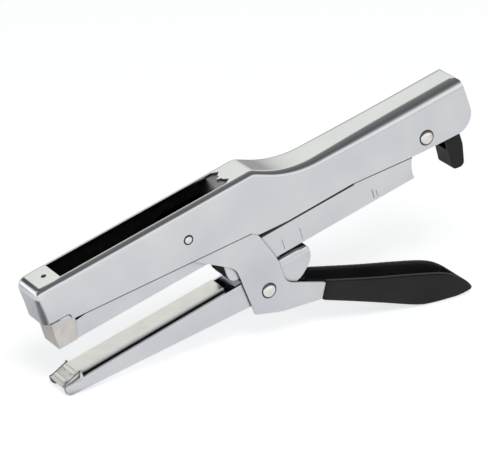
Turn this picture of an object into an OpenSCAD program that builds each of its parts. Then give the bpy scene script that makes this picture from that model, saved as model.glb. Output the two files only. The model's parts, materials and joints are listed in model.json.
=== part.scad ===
// Hand plier stapler: a chrome squeeze stapler with a top cover, a magazine, an anvil arm
// hinged below it and a U-shaped lever with dipped grips.
//
// Everything is drawn in the tool frame: X runs along the magazine from the nose (0) towards
// the tail, Z is up from the underside of the magazine, Y is across. The tool stands on the
// tip of its anvil arm and on its grips, so stand() turns the whole tool into that pose.

/* [Cover] */
// Height of the flat front top above the magazine's underside
cover_top = 32.4; // [30:0.2:36]
// Height of the straight tail top above the magazine's underside
tail_top = 21.8; // [19:0.2:24]
// Where the flat front top ends and the shoulder starts
shoulder_x = 108.5; // [104:0.5:114]
// Slope of the saddle behind the shoulder
saddle_slope = 30; // [24:1:34]
// Radius of the shoulder's bend
shoulder_r = 6; // [3:0.5:10]
// Radius of the hollow saddle
saddle_r = 50; // [40:1:60]
// How far the cover's front stands ahead of the nose guide
cover_ahead = 3.5; // [3:0.1:5]
// Thickness of the cover's sheet
cover_sheet = 0.9; // [0.7:0.05:1.2]
// Radius of the cover's upright front edges
front_r = 4.5; // [3:0.25:6]
// Height of the cover's lower edge at its front
front_hem = 14; // [13:0.25:15]
// Height of the cover's lower edge where it meets the lever
mid_hem = 5; // [4:0.25:6]
// Height of the cover's lower edge behind the lever
rear_hem = 1.5; // [1:0.1:2]
// Length of the window in the cover's top
window_l = 87; // [75:1:92]
// Width of the window in the cover's top
window_w = 13.4; // [11:0.2:13.8]

/* [Body] */
// Width of the magazine over its walls
magazine_w = 12.2; // [12:0.1:12.8]
// Thickness of the magazine's sheet
magazine_sheet = 0.7; // [0.6:0.05:0.9]
// Height of the magazine's walls at the rear
magazine_h = 9; // [8:0.25:10]
// Where the throat of the jaw ends and the lower channel starts
throat_x = 84.5; // [80:0.5:88]
// Where the lower channel ends below the cover
channel_end = 187; // [180:0.5:189]
// Depth of the lower channel below the magazine
channel_depth = 14; // [13:0.1:14.4]
// Thickness of the lower channel's sheet
channel_sheet = 1; // [0.8:0.05:1.2]
// Length of the nose guide along the magazine
guide_l = 10; // [8:0.5:12]
// Thickness of the nose guide's sheet
guide_sheet = 0.6; // [0.5:0.05:0.8]

/* [Jaw] */
// Width of the anvil arm over its flanges
arm_w = 14.8; // [14.6:0.1:15.2]
// Thickness of the anvil arm's sheet
arm_sheet = 1.15; // [1:0.05:1.2]
// Open height of the jaw between magazine and anvil plate
jaw_gap = 15.5; // [14.5:0.1:16.5]
// Depth of the anvil arm at its tip
tip_depth = 6; // [5:0.25:7]
// Depth of the anvil arm at the lever
root_depth = 13.6; // [13:0.1:14.5]
// Width of the anvil plate
plate_w = 10; // [8.5:0.25:10.5]
// Thickness of the anvil plate's sheet
plate_sheet = 1; // [0.8:0.05:1.2]
// Radius of the two pockets that bend a staple's legs
pocket_r = 2.2; // [2:0.1:2.4]
// Depth of those pockets
pocket_depth = 0.8; // [0.6:0.05:1]
// Clearance left between the closed anvil and the nose
closed_gap = 0.3; // [0.2:0.05:0.6]

/* [Lever] */
// Thickness of the lever's plates
lever_sheet = 1.1; // [1:0.05:1.2]
// Running gap beside each layer of plates
side_gap = 0.15; // [0.12:0.01:0.2]
// Angle of the lever's handle below the magazine
handle_slope = 30; // [28:0.5:32]
// Length of the handle from the lever's shank to its end
handle_l = 80; // [72:1:84]
// Turn of the lever when it is squeezed home
squeeze_turn = 21; // [18:0.5:24]
// Thickness of the dipped vinyl on the handle
vinyl = 1.1; // [0.8:0.05:1.3]

/* [Rivets and pins] */
// Radius of the shank of the two big rivets
rivet_r = 2.5; // [2.2:0.05:2.6]
// Radius of the heads of the two big rivets
rivet_head_r = 3.2; // [3:0.05:3.6]
// Height of the domed heads of the big rivets
rivet_head_h = 1.5; // [1.2:0.05:1.8]
// Radius of the small cross rivet that pulls the cover down
cross_r = 1.5; // [1.3:0.05:1.6]
// Radius of the arm's hinge pin
hinge_r = 2; // [1.8:0.05:2.1]
// Radius of the latch's pin
latch_pin_r = 1.5; // [1.2:0.05:1.7]
// Running clearance between a pin and its hole
pin_fit = 0.05; // [0.03:0.01:0.09]

/* [Staples and drive] */
// Downward travel of the driver blade
drive_stroke = 7.4; // [7:0.1:7.4]
// Thickness of the driver blade
blade_t = 0.8; // [0.6:0.05:0.9]
// Outer width of a staple's crown
crown_w = 10.4; // [10:0.05:10.5]
// Height of a staple
staple_h = 6.3; // [5.5:0.1:6.4]
// Length of the stick of staples
stick_l = 50; // [20:1:55]
// Length of the follower that pushes the staples
follower_l = 11; // [9:0.5:14]

/* [Hidden] */

$fn = 48;
far = 60;                 // longer than anything a cutter has to clear
air = 0.3;                // gap between bodies that are no running fit

// ---------- helpers ----------

// Turns the point p = [x, z] about c by a degrees, tail side upwards
function turn(p, c, a) =
    c + [(p[0] - c[0])*cos(a) - (p[1] - c[1])*sin(a), (p[0] - c[0])*sin(a) + (p[1] - c[1])*cos(a)];

function xz(p) = [p[0], p[1]];

// Centre of the arc that rounds the corner b between a and c
function corner_centre(a, b, c, r) =
    let(
        u = (xz(a) - xz(b)) / norm(xz(a) - xz(b)),
        v = (xz(c) - xz(b)) / norm(xz(c) - xz(b)),
        half = acos(u * v) / 2
    ) xz(b) + (u + v) / norm(u + v) * r / sin(half);

// Points of the corner b, rounded to radius r
function corner(a, b, c, r) =
    r == 0 ? [xz(b)]
    : let(
        u = (xz(a) - xz(b)) / norm(xz(a) - xz(b)),
        v = (xz(c) - xz(b)) / norm(xz(c) - xz(b)),
        run = r / tan(acos(u * v) / 2),
        middle = corner_centre(a, b, c, r),
        first = xz(b) + u*run - middle,
        last = xz(b) + v*run - middle,
        a0 = atan2(first[1], first[0]),
        sweep = atan2(first[0]*last[1] - first[1]*last[0], first * last),
        steps = max(2, ceil(abs(sweep) / 9))
    ) [for (i = [0:steps]) middle + r * [cos(a0 + sweep*i/steps), sin(a0 + sweep*i/steps)]];

// A closed outline whose corners are given as [x, z, radius]
function rounded(pts) =
    let(n = len(pts))
    [for (i = [0:n-1]) each corner(pts[(i + n - 1) % n], pts[i], pts[(i + 1) % n], pts[i][2])];

// Points along the arc from p to q that bulges by b to the left of the way there
function bulged(p, q, b, n = 14) =
    let(
        chord = norm(q - p),
        r = (chord*chord/4 + b*b) / (2*b),
        side = [p[1] - q[1], q[0] - p[0]] / chord,
        middle = (p + q)/2 + side*(b - r),
        half = asin(chord / 2 / r),
        a0 = atan2((p - middle)[1], (p - middle)[0])
    ) [for (i = [0:n]) middle + r * [cos(a0 - 2*half*i/n), sin(a0 - 2*half*i/n)]];

// Extrudes an X-Z outline across the tool, from y0 to y1
module across(y0, y1) rotate([90, 0, 0]) translate([0, 0, -y1]) linear_extrude(y1 - y0) children();

// The same outline as a pair of plates, from half width a to half width b on each side
module plates(a, b) {
    across(a, b) children();
    across(-b, -a) children();
}

// A round bar across the tool at p = [x, z]
module bar(p, r, y0, y1) translate([p[0], y0, p[1]]) rotate([-90, 0, 0]) cylinder(r = r, h = y1 - y0);

// A bar through the whole tool, to cut holes with
module bore(p, r) bar(p, r, -far/2, far/2);

// A rivet across the tool with a domed head on each side, its heads seated at half width y
module rivet(p, r, y, head_r, head_h) {
    ball_r = (head_r*head_r + head_h*head_h) / (2*head_h);
    bar(p, r, -y, y);
    for (dir = [-1, 1]) translate([p[0], dir*y, p[1]]) rotate([-90*dir, 0, 0]) intersection() {
        translate([0, 0, head_h - ball_r]) sphere(r = ball_r);
        cylinder(r = head_r, h = head_h);
    }
}

// A round wire of radius r swept through the points of a path that never runs along Z
module wire(path, r, sides = 6) {
    n = len(path) - 1;
    points = [for (i = [0:n])
        let(
            way = path[min(i + 1, n)] - path[max(i - 1, 0)],
            u = cross(way, [0, 0, 1]) / norm(cross(way, [0, 0, 1])),
            v = cross(u, way) / norm(way)
        ) for (k = [0:sides-1]) path[i] + r*(cos(360*k/sides)*u + sin(360*k/sides)*v)];
    polyhedron(points, concat(
        [[for (k = [0:sides-1]) k]],
        [[for (k = [sides-1:-1:0]) n*sides + k]],
        [for (i = [0:n-1], k = [0:sides-1]) [i*sides + k, (i + 1)*sides + k, i*sides + (k + 1)%sides]],
        [for (i = [0:n-1], k = [0:sides-1])
            [(i + 1)*sides + k, (i + 1)*sides + (k + 1)%sides, i*sides + (k + 1)%sides]]
    ), convexity = 10);
}

// Points of a helix of mean radius r about Z, from angle a0 through sweep, from z0 to z1
function helix(r, a0, sweep, z0, z1, per_turn = 14) =
    let(n = ceil(sweep/360*per_turn))
    [for (i = [0:n]) [r*cos(a0 + sweep*i/n), r*sin(a0 + sweep*i/n), z0 + (z1 - z0)*i/n]];

// A compression spring along +Z, from z = 0 to z = h
module coil(r, wire_r, h, turns, sides = 6, per_turn = 14)
    wire(helix(r, 0, 360*turns, wire_r, h - wire_r, per_turn), wire_r, sides);

// A torsion spring round the line across the tool through p, with its legs' ends at the [x, z]
// points from and to; it fills the space from half depth y0 to y1
module torsion(p, r, wire_r, y0, y1, turns, from, to) {
    out = norm(from - p);
    back = norm(to - p);
    a0 = atan2(from[1] - p[1], from[0] - p[0]) + acos(r/out);
    a1 = atan2(to[1] - p[1], to[0] - p[0]) - acos(r/back);
    sweep = 360*turns + ((a1 - a0) % 360 + 360) % 360;
    translate([p[0], y1, p[1]]) rotate([90, 0, 0]) wire(concat(
        [[from[0] - p[0], from[1] - p[1], wire_r]],
        helix(r, a0, sweep, wire_r, y1 - y0 - wire_r),
        [[to[0] - p[0], to[1] - p[1], y1 - y0 - wire_r]]), wire_r);
}

// ---------- sizes that follow from the driving ones ----------

// Half widths of the layers of sheet, from the inside out
magazine_half = magazine_w / 2;
guide_half = magazine_half + guide_sheet;
arm_half = arm_w / 2;
arm_inner = arm_half - arm_sheet;
bracket_half = arm_inner - side_gap;
bracket_sheet = 1;
bracket_inner = bracket_half - bracket_sheet;
channel_inner = arm_half - channel_sheet;
lever_inner = arm_half + side_gap;
lever_half = lever_inner + lever_sheet;
cover_inner = lever_half + side_gap;
cover_half = cover_inner + cover_sheet;
grip_half = lever_half + vinyl;

// Pivots as [x, z]
rear_pivot = [196, 3.2];
main_pivot = [101, -26.8];
arm_pivot = [107, -21.5];
cross_point = [71.2, 18.3];
latch_pivot = [208, 1.4];

// Staples and what carries them
nose_end = 2.3;           // the magazine stops here, so a staple can leave below the blade
staple_low = magazine_sheet + 0.2;
crown_t = 0.6;
rail_sheet = 0.6;
rail_top = staple_low + staple_h - crown_t - 0.15;
rail_half = crown_w/2 - crown_t - 0.15;
stick_x = nose_end + air;
stick_end = stick_x + stick_l;
follower_x = stick_end + air;
follower_travel = 55;
rail_end = follower_x + follower_l + follower_travel + 30;
rod_z = (magazine_sheet + rail_top - rail_sheet) / 2;
rod_r = 0.8;

// Driver
blade_x = 1.25;
blade_low = staple_low + staple_h + 0.4;
leaf_z = 23;
leaf_t = 1.2;
leaf_half = 5;
driver_pin_x = 6.5;

// Arm
arm_top = -jaw_gap - 1.8;
tip_x = -4;
tip_r = 3;
tip_drop = 1.2;           // how far the flanges' top edge falls from the tail to the tip
plate_front = 6;
plate_rear = throat_x - 2.5;
tip_slope = 9;            // the tip is cut back so that it meets the nose squarely
web_start = tip_x + 4;
web_end = 94;             // the arm's lower web stops here, ahead of the main rivet
tail_end = arm_pivot[0] + 19;
stud_r = 1.6;
stud_inset = 8;           // from the ends of the anvil plate
function arm_low(x) = arm_top - tip_depth - (root_depth - tip_depth) * (x - tip_x) / (main_pivot[0] - tip_x);

// Handle, drawn along its own axis: s from its start to its end, n square to it
handle_start = [128, -43.2];
function on_handle(s, n) =
    handle_start + [s*cos(handle_slope) + n*sin(handle_slope), n*cos(handle_slope) - s*sin(handle_slope)];
heel_r = 14;
beak_r = 1.2;
// Corners of the handle for an outline drawn smaller by inset
function handle_corner(s, n, r) = concat(on_handle(s, n), [r]);
function handle_corners(inset) = [
    handle_corner(0, 5.5 - inset, 0),
    handle_corner(0.58*handle_l, 7.4 - inset, 60),
    handle_corner(0.93*handle_l - inset, 7.6 - inset, 4),
    handle_corner(handle_l + 2.4 - 2*inset, 2.2, max(beak_r - inset, 0.1)),
    handle_corner(0.71*handle_l, inset - 6.9, heel_r - inset),
    handle_corner(0, inset - 4, 0)
];

// ---------- angles that the joints turn through ----------

anvil_point = [blade_x, -jaw_gap - (plate_front - blade_x) * tan(tip_slope)];
function anvil_height(a) = turn(anvil_point, arm_pivot, -a)[1];
function close_turn(low, high, n) =
    let(mid = (low + high) / 2)
    n == 0 ? mid
    : anvil_height(mid) < -closed_gap ? close_turn(mid, high, n - 1) : close_turn(low, mid, n - 1);
jaw_turn = close_turn(0, 20, 30);
cover_turn = 2 * asin(drive_stroke / 2 / (rear_pivot[0] - blade_x));

// Where the cross rivet stands in the lever when the tool is squeezed by the share s
function cross_in_lever(s) =
    let(
        on_cover = turn(cross_point, rear_pivot, cover_turn*s),
        on_arm = turn(main_pivot, arm_pivot, -jaw_turn*s)
    ) turn(main_pivot + on_cover - on_arm, main_pivot, -(squeeze_turn - jaw_turn)*s);

// ---------- pose on the table ----------

tip_corners = [[tip_x, arm_top - tip_drop, 0.8], [tip_x, arm_low(tip_x), tip_r], [web_end, arm_low(web_end), 0]];
tip_centre = corner_centre(tip_corners[0], tip_corners[1], tip_corners[2], tip_r);
heel = handle_corners(0);
heel_centre = corner_centre(heel[3], heel[4], heel[5], heel_r);
beak_centre = corner_centre(heel[2], heel[3], heel[4], beak_r);
heel_span = heel_centre - tip_centre;
stand_turn = asin((heel_r - tip_r) / norm(heel_span)) - atan2(heel_span[1], heel_span[0]);
front_top_r = 1.5;
nose_centre = [front_top_r - cover_ahead, cover_top - front_top_r];
function standing(p) = turn(p, [0, 0], stand_turn);
stand_low = standing(tip_centre)[1] - tip_r;
stand_mid = (standing(nose_centre)[0] - front_top_r + standing(beak_centre)[0] + beak_r) / 2;

// Turns the tool frame into the standing pose
module stand() translate([-stand_mid, 0, -stand_low]) rotate([0, -stand_turn, 0]) children();

// ---------- cover and what is fixed in it ----------

hollow_end = 9;           // the tail is open to the rear below this height
tail_corner = [220.4, 222]; // where the tail's rear edge is at its top and at its foot
tail_foot = -4.1;
tail_r = [2, 9];          // rounds that edge's top and its foot
mid_hem_x = 100.3;
lever_back = 104;         // behind the lever the hem starts again, a little above the channel
hem_rise = 1.5;
tail_hem = [[200, -3], [190, -2.4], 154];
window_x = 11.2;

slope_drop = cover_top - tail_top - (shoulder_r + saddle_r)*(1 - cos(saddle_slope));
slope_run = slope_drop / tan(saddle_slope);
bend_x = shoulder_x + shoulder_r*sin(saddle_slope);
bend_z = cover_top - shoulder_r*(1 - cos(saddle_slope));
shoulder_c = [shoulder_x, cover_top - shoulder_r];
saddle_c = [bend_x + slope_run + saddle_r*sin(saddle_slope), tail_top + saddle_r];

// The top line of the cover, for a shell drawn smaller by inset
function top_line(inset) = concat(
    corner([-cover_ahead + inset, 0], [-cover_ahead + inset, cover_top - inset], [50, cover_top - inset],
        front_top_r - inset/2),
    [for (i = [0:5]) let(a = 90 - saddle_slope*i/5)
        shoulder_c + (shoulder_r - inset)*[cos(a), sin(a)]],
    [for (i = [0:12]) let(a = 270 - saddle_slope + saddle_slope*i/12)
        saddle_c + (saddle_r + inset)*[cos(a), sin(a)]]
);

// The rear edge of the cover: its top corner, and its foot that runs into the hem
function tail_head(inset) = corner([50, tail_top - inset], [tail_corner[0] - inset, tail_top - inset],
    [tail_corner[1] - inset, tail_foot], tail_r[0] - inset/2);
function tail_heel(inset) = corner([tail_corner[0] - inset, tail_top - inset],
    [tail_corner[1] - inset, tail_foot], tail_hem[0], tail_r[1] - inset);
function tail_face(z, inset) =
    tail_corner[1] - inset - (tail_corner[1] - tail_corner[0]) * (z - tail_foot) / (tail_top - tail_foot);

// What rounding takes off a square corner at the origin, towards +x and +y
module nick(r) difference() {
    translate([-r, -r]) square(r + 1);
    translate([-r, -r]) circle(r = r);
}

// The cover as a solid bar with its upright front edges rounded
module cover_solid(half, inset, outline) difference() {
    across(-half, half) polygon(outline);
    for (side = [0, 1]) mirror([0, side, 0]) translate([inset - cover_ahead, half, -10])
        linear_extrude(far) mirror([1, 0]) nick(front_r - inset);
}

module cover() color("gainsboro") difference() {
    cover_solid(cover_half, 0, concat(top_line(0), tail_head(0), tail_heel(0), [
        tail_hem[0], tail_hem[1], [tail_hem[2], rear_hem], [lever_back, rear_hem + hem_rise],
        [mid_hem_x, mid_hem],
        [-cover_ahead, front_hem]]));
    cover_solid(cover_inner, cover_sheet, concat(
        top_line(cover_sheet), tail_head(cover_sheet),
        [[tail_face(hollow_end, cover_sheet), hollow_end], [240, hollow_end], [240, -40], [-cover_ahead + cover_sheet, -40]]));
    translate([window_x, 0, cover_top - 4]) linear_extrude(10) window();
    bore(cross_point, cross_r);
    bore(rear_pivot, rivet_r);
    translate([driver_pin_x, 0, cover_top - 5]) cylinder(r = 1, h = 10);
}

// The window, with the notched rear edge that the leaf's anchor hooks into
module window() {
    tooth = 2.2;
    polygon([
        [0, -window_w/2], [window_l - 1, -window_w/2], [window_l + 2, tooth - window_w/2],
        [window_l, 2*tooth - window_w/2], [window_l, -tooth/2], [window_l - 2, 0], [window_l, tooth/2],
        [window_l, window_w/2 - 2*tooth], [window_l + 2, window_w/2 - tooth], [window_l - 1, window_w/2],
        [0, window_w/2]
    ]);
}

module driver_blade() color("dimgray") translate([blade_x, -crown_w/2, blade_low])
    cube([blade_t, crown_w, leaf_z + leaf_t - blade_low]);

module drive_leaf() color("#181818") difference() {
    translate([blade_x + blade_t, -leaf_half, leaf_z])
        cube([window_x + window_l - 4 - blade_x - blade_t, 2*leaf_half, leaf_t]);
    translate([driver_pin_x, 0, leaf_z - 1]) cylinder(r = 1, h = 10);
}

// The bent end of the leaf's mount, seen at the rear of the window
module leaf_anchor() color("gray") across(-window_w/2 + air, window_w/2 - air) polygon([
    [window_x + window_l - 9, leaf_z + leaf_t], [window_x + window_l - 3, leaf_z + leaf_t],
    [window_x + window_l + 1, cover_top - cover_sheet], [window_x + window_l - 4, cover_top - cover_sheet]]);

module driver_pin() color("#303030") translate([driver_pin_x, 0, leaf_z])
    cylinder(r = 1, h = cover_top + 0.2 - leaf_z);

module cross_rivet() color("silver") rivet(cross_point, cross_r, cover_half, cross_r + 0.3, 0.7);

module rear_rivet() color("silver") rivet(rear_pivot, rivet_r, cover_half, rivet_head_r, rivet_head_h);

// ---------- body: channel, magazine and nose ----------

ear_low = -2.4;
ear_end = 212.5;
mouth_r = 4;              // rounds the lower corner of the channel's mouth
mouth_inset = 0.9;

module body_channel() color("lightgray") difference() {
    union() {
        plates(channel_inner, arm_half) polygon(concat(
            rounded([[throat_x, 0, 0], [throat_x, -channel_depth, mouth_r],
                [channel_end - 1, -channel_depth, 0]]),
            bulged([channel_end - 1, -channel_depth], [channel_end + 1.5, ear_low], 1.2),
            rounded([[ear_end, ear_low, 2], [ear_end, 8, 3],
                [channel_end - 5, 8, 3], [channel_end - 9, 0, 0]])
        ));
        across(-arm_half, arm_half) polygon([[throat_x, 0], [throat_x, -channel_sheet],
            [channel_end - 9, -channel_sheet], [channel_end - 9, 0]]);
    }
    bore(rear_pivot, rivet_r + pin_fit);
    bore(latch_pivot, latch_pin_r);
    magazine_rivet_places() cylinder(r = 1.5, h = 10, center = true);
}

magazine_end = min(channel_end - 4, rear_pivot[0] - 13);
magazine_bend = 30;

module magazine() color("gainsboro") difference() {
    across(-magazine_half, magazine_half) polygon([[nose_end, 0], [magazine_end, 0],
        [magazine_end, magazine_h], [magazine_bend, magazine_h + 2], [nose_end, magazine_h + 4]]);
    translate([-1, -magazine_half + magazine_sheet, magazine_sheet])
        cube([channel_end + 1, 2*(magazine_half - magazine_sheet), far]);
    magazine_rivet_places() cylinder(r = 1.5, h = 10, center = true);
}

rivet_insets = [6, 18];   // from the channel's mouth and from its rear end

module magazine_rivet_places()
    for (x = [throat_x + rivet_insets[0], channel_end - rivet_insets[1]]) translate([x, 0, 0]) children();

module magazine_rivets() color("silver") magazine_rivet_places()
    translate([0, 0, -channel_sheet - 0.6]) cylinder(r = 1.5, h = channel_sheet + 0.6 + magazine_sheet);

guide_h = 15;
guide_rear = [9, 12];     // heights between which its rear edge is upright

module nose_guide() color("#c8c0b8") {
    plates(magazine_half, guide_half) polygon([[0, 0], [guide_l - 0.6, 0], [guide_l + 1.4, guide_rear[0]],
        [guide_l + 1.4, guide_rear[1]], [0, guide_h]]);
    translate([0, -guide_half, 0]) cube([guide_sheet, 2*guide_half, guide_h]);
}

module staple_rail() color("silver") difference() {
    translate([nose_end, -rail_half, magazine_sheet])
        cube([rail_end - nose_end, 2*rail_half, rail_top - magazine_sheet]);
    translate([nose_end - 1, -rail_half + rail_sheet, magazine_sheet - 1])
        cube([rail_end, 2*(rail_half - rail_sheet), rail_top - magazine_sheet - rail_sheet + 1]);
    translate([follower_x, -1.2, magazine_sheet])
        cube([follower_l + follower_travel, 2.4, far]);
}

// A stick of staples: a row of joined staples, saddled on the rail
module staple_stick() color("darkgray") difference() {
    translate([stick_x, -crown_w/2, staple_low]) cube([stick_l, crown_w, staple_h]);
    translate([stick_x - 1, -crown_w/2 + crown_t, staple_low - 1])
        cube([stick_l + 2, crown_w - 2*crown_t, staple_h - crown_t + 1]);
}

bracket_behind = 11.5;    // behind the channel's mouth
bracket_reach = 7;        // behind the arm's pivot

// Plate that closes the mouth of the lower channel at the back of the jaw
module throat_plate() color("#1c1c1c") across(-channel_inner, channel_inner) polygon([
    [throat_x + mouth_inset, -channel_sheet], [throat_x + mouth_inset + 1, -channel_sheet],
    [throat_x + mouth_inset + 1, 1.1 - channel_depth], [throat_x + mouth_inset, 1.1 - channel_depth]]);

bracket_front = throat_x + bracket_behind;
bracket_rear = arm_pivot[0] + bracket_reach;
bracket_waist = [5, -11];  // half width of the ears, and the height where they start
ear_r = 4.2;

module pivot_bracket() color("silver") difference() {
    union() {
        plates(bracket_inner, bracket_half) polygon(rounded([
            [bracket_front, -channel_sheet, 0], [bracket_rear, -channel_sheet, 0],
            [arm_pivot[0] + bracket_waist[0], bracket_waist[1], 3],
            [arm_pivot[0] + ear_r, arm_pivot[1] - ear_r, ear_r],
            [arm_pivot[0] - ear_r, arm_pivot[1] - ear_r, ear_r],
            [arm_pivot[0] - bracket_waist[0], bracket_waist[1], 3]]));
        across(-bracket_inner, bracket_inner) polygon([
            [bracket_front, -channel_sheet], [bracket_rear, -channel_sheet],
            [bracket_rear, -channel_sheet - bracket_sheet], [bracket_front, -channel_sheet - bracket_sheet]]);
    }
    bore(arm_pivot, hinge_r + pin_fit);
}

module rear_spacer() color("gray") difference() {
    bar(rear_pivot, 3.6, -channel_inner, channel_inner);
    bore(rear_pivot, rivet_r + pin_fit);
}

module spring_stop() color("gray") difference() {
    translate([rail_end - stop_t, -rail_half + rail_sheet, magazine_sheet])
        cube([stop_t, 2*(rail_half - rail_sheet), rail_top - rail_sheet - magazine_sheet]);
    translate([rail_end - 4, 0, rod_z]) rotate([0, 90, 0]) cylinder(r = rod_r, h = 10);
}

module guide_rod() color("silver") translate([follower_x + 2, 0, rod_z]) rotate([0, 90, 0])
    cylinder(r = rod_r, h = rail_end - follower_x - 2);

module follower() color("#202020") difference() {
    union() {
        translate([follower_x, -magazine_half + magazine_sheet + air, staple_low])
            cube([follower_l, 2*(magazine_half - magazine_sheet - air), rail_top + 1.2 - staple_low]);
    }
    difference() {
        translate([follower_x - 1, -rail_half - 0.1, -1])
            cube([follower_l + 2, 2*rail_half + 0.2, rail_top + 0.1 + 1]);
        translate([follower_x + 1, -0.95, rail_top - 2]) cube([follower_l - 2, 1.9, far]);
        translate([follower_x + 1, -rail_half + rail_sheet + 0.4, staple_low + 0.2])
            cube([follower_l - 2, 2*(rail_half - rail_sheet - 0.4), rail_top - rail_sheet - staple_low - 0.5]);
    }
    translate([0, 0, rod_z]) rotate([0, 90, 0]) cylinder(r = rod_r + 0.1, h = 4*far);
}

pusher_r = 1.7;
pusher_wire_r = 0.25;
stop_t = 3;

module pusher_spring() color("silver")
    translate([follower_x + follower_l - 1 + 0.1, 0, rod_z]) rotate([0, 90, 0])
    coil(pusher_r, pusher_wire_r, rail_end - stop_t - follower_x - follower_l + 0.9, 26, 5, 10);

cover_spring_gap = 12;    // behind the staple rail
cover_coil_r = 4;
cover_wire_r = 0.6;

// Return spring that holds the cover up off the magazine
module cover_spring() color("silver") translate([rail_end + cover_spring_gap, 0, magazine_sheet])
    coil(cover_coil_r, cover_wire_r, tail_top - cover_sheet - magazine_sheet - 0.2, 6);

// ---------- anvil arm ----------

module arm_outline() polygon(rounded(concat(tip_corners, [
    [main_pivot[0], arm_low(main_pivot[0]), 20],
    [tail_end - 8, arm_low(main_pivot[0]) + 0.3, 10], [tail_end + 1.5, arm_low(main_pivot[0]) + 8, 8],
    [tail_end - 0.5, arm_top + 0.4, 0.8]])));

module anvil_arm() color("lightgray") difference() {
    union() {
        plates(arm_inner, arm_half) arm_outline();
        across(-arm_inner, arm_inner) polygon([
            [web_start, arm_low(web_start)], [web_end, arm_low(web_end)],
            [web_end, arm_low(web_end) + arm_sheet], [web_start, arm_low(web_start) + arm_sheet]]);
        across(-arm_inner, arm_inner) polygon([
            [arm_pivot[0] + 7, arm_top], [tail_end - 2, arm_top],
            [tail_end - 2, arm_top - 0.9], [arm_pivot[0] + 7, arm_top - 0.9]]);
    }
    bore(main_pivot, rivet_r + pin_fit);
    bore(arm_pivot, hinge_r);
}

function web_top(x) = arm_low(x) + arm_sheet;

// Plate that the paper lies on: an inverted U that stands on the arm's web
module anvil_plate() color("gainsboro") {
    across(-plate_w/2, plate_w/2) polygon([
        [plate_front, -jaw_gap], [plate_rear, -jaw_gap],
        [plate_rear, -jaw_gap - plate_sheet], [plate_front, -jaw_gap - plate_sheet]]);
    plates(plate_w/2 - plate_sheet, plate_w/2) polygon([
        [plate_front, -jaw_gap], [plate_rear, -jaw_gap],
        [plate_rear, web_top(plate_rear)], [plate_front, web_top(plate_front)]]);
}

// Block at the tip, with the two pockets that bend a staple's legs
module clinch_anvil() color("silver") difference() {
    across(-arm_inner + 0.05, arm_inner - 0.05) polygon([
        [tip_x, arm_top + 0.2 - tip_drop], [plate_front, -jaw_gap], [plate_front, web_top(plate_front)],
        [web_start, web_top(web_start)], [web_start, arm_low(web_start)], [tip_x + 0.6, arm_low(tip_x) + 3]]);
    for (side = [-1, 1])
        translate([blade_x - pocket_r/2, side*crown_w/4, anvil_point[1] + pocket_r - pocket_depth])
        rotate([0, 90, 0]) cylinder(r = pocket_r, h = pocket_r);
}

module anvil_studs() color("gray") for (x = [plate_front + stud_inset, plate_rear - stud_inset])
    difference() {
        translate([x, 0, arm_low(x)]) cylinder(r = stud_r, h = -jaw_gap - plate_sheet - arm_low(x));
        across(-2*stud_r, 2*stud_r) polygon([
            [x - 2*stud_r, arm_low(x) - arm_sheet], [x + 2*stud_r, arm_low(x) - arm_sheet],
            [x + 2*stud_r, web_top(x + 2*stud_r)], [x - 2*stud_r, web_top(x - 2*stud_r)]]);
    }

module arm_pin() color("silver") bar(arm_pivot, hinge_r, -arm_half, arm_half);

jaw_wire_r = 0.45;
lever_wire_r = 0.4;
torsion_end = 4.6;        // how far the two torsion springs reach to their side of the middle
jaw_leg = 9;

// Torsion spring that swings the arm open: one leg on the channel, one under the arm's tail web
module jaw_spring() color("silver")
    torsion(arm_pivot, hinge_r + 1.4, jaw_wire_r, -torsion_end, -lever_wire_r, 3,
        [arm_pivot[0] - jaw_leg, -channel_sheet - bracket_sheet - jaw_wire_r - 0.15],
        [tail_end - jaw_leg, arm_top - 0.9 - jaw_wire_r - 0.25]);

// ---------- lever ----------

lever_toe = [104, -40.2];
web_front = lever_toe + 0.45*(xz(handle_corners(vinyl)[5]) - lever_toe);

lever_head = [[64.5, 25, 4], [92, 25, 6], [104.2, 0.8, 12], [109.6, -15, 20], [109.9, -27.6, 7]];
lever_throat = [[91.4, -34.6, 0.8], [89, -8, 8], [66.5, 10, 2]];

module lever_outline() polygon(rounded(concat(
    lever_head, handle_corners(vinyl), [concat(lever_toe, [25])], lever_throat)));

// The lower edge of the handle, moved in by inset, up to the share of the way from heel to beak
function lower_edge(inset, share) =
    let(h = handle_corners(inset), last = xz(h[3]) - xz(h[4]))
    concat(corner(h[5], h[4], h[3], h[4][2]), [xz(h[4]) + share*last]);

// A band along the handle's lower edge between two insets, from the points first and second
module lower_band(outer, inner, first, second, share) {
    back = lower_edge(inner, share);
    n = len(back);
    polygon(concat([first], [xz(handle_corners(outer)[5])], lower_edge(outer, share),
        [for (i = [1:n]) back[n - i]], [xz(handle_corners(inner)[5])], [second]));
}

module lever_metal() {
    plates(lever_inner, lever_half) lever_outline();
    across(-lever_inner - lever_sheet/2, lever_inner + lever_sheet/2) lower_band(vinyl, vinyl + lever_sheet,
        web_front, web_front + [0, lever_sheet], 0.6);
}

// Slot that lets the cross rivet swing through the lever's plates
module cross_slot() {
    r = cross_r + air;
    n = 4;
    for (i = [0:n]) bore(cross_in_lever(i/n), r);
    for (i = [0:n-1]) {
        p = cross_in_lever(i/n);
        way = cross_in_lever((i + 1)/n) - p;
        translate([p[0], 0, p[1]]) rotate([0, -atan2(way[1], way[0]), 0])
            translate([0, -far/2, -r]) cube([norm(way), far, 2*r]);
    }
}

module lever() color("gainsboro") difference() {
    lever_metal();
    cross_slot();
    bore(main_pivot, rivet_r);
}

// Edge of the sleeve, which wraps the edge of the lever's plate
module grip_rim() difference() {
    polygon(rounded(handle_corners(0)));
    polygon(concat([on_handle(-5, vinyl - 4), on_handle(-5, 5.5 - vinyl)], rounded(handle_corners(vinyl))));
}

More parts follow.
